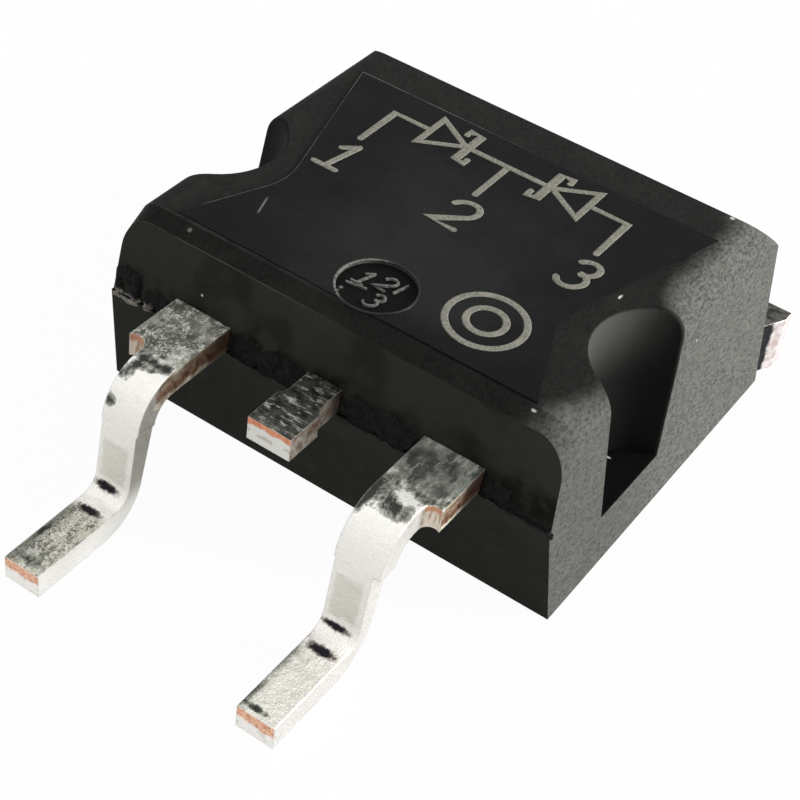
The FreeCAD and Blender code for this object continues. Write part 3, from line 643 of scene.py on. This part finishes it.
def ejector_figures(material):
    """Mould-cavity figures in relief on the floor of the ejector mark."""
    mesh = bmesh.new()
    lines = []
    for digit, aside, raised in ((1, -0.5, -0.1), (2, -0.12, 0.02), (3, -0.02, -0.5)):
        lines += figure(digit, DISC.x + aside, DISC.y + raised, height=0.4, slant=0.3)
    lines.append([(DISC.x - 0.5, DISC.y - 0.2), (DISC.x - 0.14, DISC.y - 0.14)])
    lines.append([(DISC.x + 0.3, DISC.y + 0.1), (DISC.x + 0.38, DISC.y + 0.42)])
    draw_lines(mesh, lines, width=0.055, level=DISC.z, height=0.03)
    return new_piece("ejector_figures", mesh, material)


def ejector_lip(material):
    """Thin lip that the ejector pin leaves round its mark."""
    mesh = bmesh.new()
    ring = circle((DISC.x, DISC.y), DISC_RADIUS + 0.012, steps=96)
    add_stroke(mesh, ring, width=0.05, level=TOP, height=0.012, closed=True)
    return new_piece("ejector_lip", mesh, material)


def front_face(z):
    """Where the front of the body is at a height."""
    if z < PARTING:
        return SEAM_Y + (PARTING - z) * FRONT_LEAN_LOW
    return SEAM_Y + SEAM_STEP + (z - PARTING) * FRONT_LEAN_HIGH


def flash(name, left, right, low, high, depth, seed, material):
    """Ragged flash squeezed out along the mould seam, as one or more closed crusts on the front."""
    step = 0.03
    columns = round((right - left) / step)
    rows = round((high - low) / step)
    heights = {}
    for column in range(columns + 1):
        for row in range(rows + 1):
            x = left + column * step
            z = low + row * step
            share = min(column, columns - column) / columns * 2, min(row, rows - row) / rows * 2
            window = min(1, share[0] * 4) * min(1, share[1] * 2.2)
            coarse = noise.noise(Vector((x / 0.22, seed, z / 0.2)))
            fine = noise.noise(Vector((x / 0.07, seed + 5, z / 0.07)))
            heights[column, row] = window * (0.55 + 0.8 * coarse + 0.35 * fine) - 0.22
    mesh = bmesh.new()
    outer = {}
    inner = {}
    for (column, row), height in heights.items():
        x = left + column * step + 0.008 * noise.noise(Vector((column, row, seed)))
        z = low + row * step + 0.008 * noise.noise(Vector((row, column, seed)))
        y = front_face(z)
        outer[column, row] = (x, y - 0.012 - depth * max(0, min(1, height)), z)
        inner[column, row] = (x, y + 0.05, z)
    kept = {(c, r) for c in range(columns) for r in range(rows)
            if sum(heights[c + i, r + j] > 0 for i in (0, 1) for j in (0, 1)) >= 3}
    verts = {}

    def corner(layer, key, spots):
        if (layer, key) not in verts:
            verts[layer, key] = mesh.verts.new(spots[key])
        return verts[layer, key]

    for c, r in kept:
        ring = [(c, r), (c + 1, r), (c + 1, r + 1), (c, r + 1)]
        mesh.faces.new([corner(0, key, outer) for key in ring])
        mesh.faces.new([corner(1, key, inner) for key in reversed(ring)])
        for number, (i, j) in enumerate(((0, -1), (1, 0), (0, 1), (-1, 0))):
            if (c + i, r + j) not in kept:
                one, two = ring[number], ring[(number + 1) % 4]
                mesh.faces.new([corner(0, one, outer), corner(0, two, outer),
                                corner(1, two, inner), corner(1, one, inner)])
    return new_piece(name, mesh, material)


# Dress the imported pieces

def dress(node, material):
    """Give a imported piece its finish."""
    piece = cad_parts[node]
    piece.data.materials.clear()
    piece.data.materials.append(material)


dress("moulded_body", moulding_compound())
dress("heat_sink_header", tinned_header())
dress("anode_lead_left", tinned_lead(
    "left_lead_tin", -1, olive_end=-4.1, cut_end=-4.7,
    shoulder=((0.19, 0.195, 0.162), (0.9, 0.89, 0.82)), specks=1.0,
    dark_blots=[((-2.86, -4.2, 2.91), (0.2, 0.26, 0.3)), ((-2.32, -4.24, 2.91), (0.38, 0.13, 0.3)),
                ((-2.62, -4.42, 2.88), (0.2, 0.07, 0.2)), ((-2.84, -4.62, 2.8), (0.16, 0.14, 0.2)),
                ((-2.86, -5.02, 2.42), (0.13, 0.12, 0.16)), ((-2.5, -4.02, 2.93), (0.1, 0.05, 0.1)),
                ((-2.54, -7.45, 0.5), (0.3, 0.2, 0.1)), ((-2.86, -6.7, 0.5), (0.08, 0.6, 0.1))],
    bend_marks=[((-2.62, -5.37, 0.66), (0.29, 0.12, 0.08)), ((-2.56, -5.9, 0.5), (0.26, 0.1, 0.1))],
    patch=(0.8, 1.62), foot_tones=((0.58, 0.57, 0.48), (0.15, 0.15, 0.115), 0.9, 0.0),
    leg_side=(0.3, 0.292, 0.235)))
dress("anode_lead_right", tinned_lead(
    "right_lead_tin", 1, olive_end=-3.85, cut_end=-4.05,
    shoulder=((0.14, 0.147, 0.127), (0.6, 0.6, 0.54)), specks=0.15,
    dark_blots=[((2.18, -4.08, 2.92), (0.3, 0.5, 0.4)), ((2.95, -3.85, 2.93), (0.42, 0.16, 0.3)),
                ((2.78, -4.36, 2.9), (0.42, 0.22, 0.3)), ((2.14, -4.5, 2.8), (0.1, 0.25, 0.2)),
                ((2.16, -7.2, 0.5), (0.1, 0.35, 0.1)), ((2.45, -7.5, 0.5), (0.28, 0.07, 0.1))],
    bend_marks=[((2.46, -5.37, 0.66), (0.3, 0.1, 0.06)), ((2.53, -5.84, 0.5), (0.31, 0.12, 0.1))],
    patch=(0.85, 1.72), foot_tones=((0.82, 0.81, 0.74), (0.56, 0.55, 0.47), 0.5, -0.2),
    leg_side=(0.6, 0.585, 0.55)))
silicon = inner_metal(
    "silicon", (0.26, 0.27, 0.3), (0.2, 0.21, 0.24), roughness=0.22, size=0.5, metallic=0.5)
chip_solder = inner_metal(
    "chip_solder", (0.6, 0.6, 0.6), (0.46, 0.46, 0.47), roughness=0.45, size=0.15, metallic=0.9)
bond_wire = inner_metal(
    "bond_wire", (0.82, 0.82, 0.82), (0.7, 0.7, 0.71), roughness=0.3, size=0.1, metallic=1.0)
for side_name in ("right", "left"):
    dress(f"schottky_chip_{side_name}", silicon)
    dress(f"solder_layer_{side_name}", chip_solder)
    dress(f"bond_wire_{side_name}", bond_wire)

mark = laser_mark()
circuit_mark(mark)
ring_mark(mark)
ejector_figures(bare_relief(
    "raised_figures", (0.15, 0.15, 0.14), (0.03, 0.03, 0.028), roughness=0.35))
# The pin lip is pale only on its left arc: a painted highlight
ejector_lip(bare_relief(
    "pin_lip", (0.17, 0.17, 0.155), (0.008, 0.008, 0.0075), roughness=0.4, lit_until=DISC.x - 0.2))
dark_flash = flash_compound("dark_flash", torn_below=2.2)
pale_flash = flash_compound("pale_flash", torn_below=2.48)
for name, left, right, low, high, depth, seed, material in (
        ("flash_corner", -4.82, -4.12, 2.22, 3.12, 0.09, 1.0, pale_flash),
        ("flash_left_gap", -4.12, -3.45, 2.28, 2.86, 0.06, 2.0, pale_flash),
        ("flash_left_middle", -2.14, -0.42, 2.3, 3.0, 0.07, 3.0, dark_flash),
        ("flash_right_middle", 0.4, 2.1, 2.3, 3.05, 0.08, 4.0, dark_flash),
        ("flash_right", 3.34, 4.0, 2.3, 2.85, 0.05, 6.0, dark_flash),
        ("flash_right_tail", 3.8, 4.95, 2.26, 2.56, 0.03, 7.0, dark_flash)):
    flash(name, left, right, low, high, depth, seed, material)


# Floor, light and camera

def white_floor():
    """Plain white ground that keeps a soft shadow and looks white to the camera and in metal."""
    f = Finish("white_floor")
    path = f.node("LightPath").socket.node
    seen = f.either(*(Reading(f, path.outputs[name])
                      for name in ("Is Camera Ray", "Is Glossy Ray", "Is Transmission Ray")))
    lit = f.node("BsdfDiffuse", sockets={"Color": (0.8, 0.8, 0.8)})
    glow = f.node("Emission", sockets={"Color": (1, 1, 1), "Strength": 1.0})
    f.show(f.node("MixShader", sockets={0: seen * WHITENESS, 1: lit, 2: glow}))
    return f.material


def lay_floor():
    """Ground that reaches two metres each way."""
    mesh = bmesh.new()
    bmesh.ops.create_grid(mesh, x_segments=1, y_segments=1, size=2.0)
    data = bpy.data.meshes.new("floor")
    mesh.to_mesh(data)
    mesh.free()
    data.materials.append(white_floor())
    floor = bpy.data.objects.new("floor", data)
    bpy.context.scene.collection.objects.link(floor)


def white_world():
    """Even white surroundings, dimmer as a source of light than they look."""
    world = bpy.data.worlds.new("white_surroundings")
    world.use_nodes = True
    nodes, links = world.node_tree.nodes, world.node_tree.links
    nodes.clear()
    path = nodes.new("ShaderNodeLightPath")
    seen = path.outputs["Is Camera Ray"]
    for name in ("Is Glossy Ray", "Is Transmission Ray"):
        either = nodes.new("ShaderNodeMath")
        either.operation = "MAXIMUM"
        links.new(seen, either.inputs[0])
        links.new(path.outputs[name], either.inputs[1])
        seen = either.outputs[0]
    level = nodes.new("ShaderNodeMapRange")
    level.inputs["To Min"].default_value = AMBIENT
    links.new(seen, level.inputs["Value"])
    background = nodes.new("ShaderNodeBackground")
    background.inputs["Color"].default_value = (1, 1, 1, 1)
    links.new(level.outputs[0], background.inputs["Strength"])
    out = nodes.new("ShaderNodeOutputWorld")
    links.new(background.outputs[0], out.inputs["Surface"])
    bpy.context.scene.world = world


def lamp(name, toward, strength, spread):
    """Broad soft light from a direction: the share of each axis from the object to the lamp."""
    data = bpy.data.lights.new(name, "SUN")
    data.energy = strength
    data.angle = math.radians(spread)
    light = bpy.data.objects.new(name, data)
    bpy.context.scene.collection.objects.link(light)
    light.rotation_mode = "QUATERNION"
    light.rotation_quaternion = Vector(toward).to_track_quat("Z", "Y")


def camera():
    """The photograph's view: 800 pixels square, focal length in those pixels."""
    around, above, roll = (math.radians(angle) for angle in (28.481, 41.934, 8.774))
    distance = 34.608
    aside, raised = 1.537, 1.715
    middle = Vector((0, -2.41, 0))
    focal_pixels, frame_pixels, sensor = 1846.412, 800, 36
    flat = math.cos(above)
    back = Vector((math.sin(around) * flat, -math.cos(around) * flat, math.sin(above)))
    level = Vector((math.cos(around), math.sin(around), 0))
    upright = back.cross(level)
    right = level * math.cos(roll) + upright * math.sin(roll)
    up = upright * math.cos(roll) - level * math.sin(roll)
    data = bpy.data.cameras.new("camera")
    data.sensor_width = sensor
    data.lens = focal_pixels * sensor / frame_pixels
    data.clip_start = 0.001
    data.clip_end = 10
    seat = bpy.data.objects.new("camera", data)
    bpy.context.scene.collection.objects.link(seat)
    place = (middle + back * distance + right * aside + up * raised) * MM
    seat.matrix_world = Matrix.Translation(place) @ Matrix((right, up, back)).transposed().to_4x4()
    bpy.context.scene.camera = seat


lay_floor()
white_world()
lamp("key", toward=(0.84, 0.5, 0.26), strength=4.6, spread=22)
lamp("top_fill", toward=(-0.35, -0.3, 1.0), strength=0.5, spread=50)
camera()
bpy.context.scene.view_settings.view_transform = "Standard"
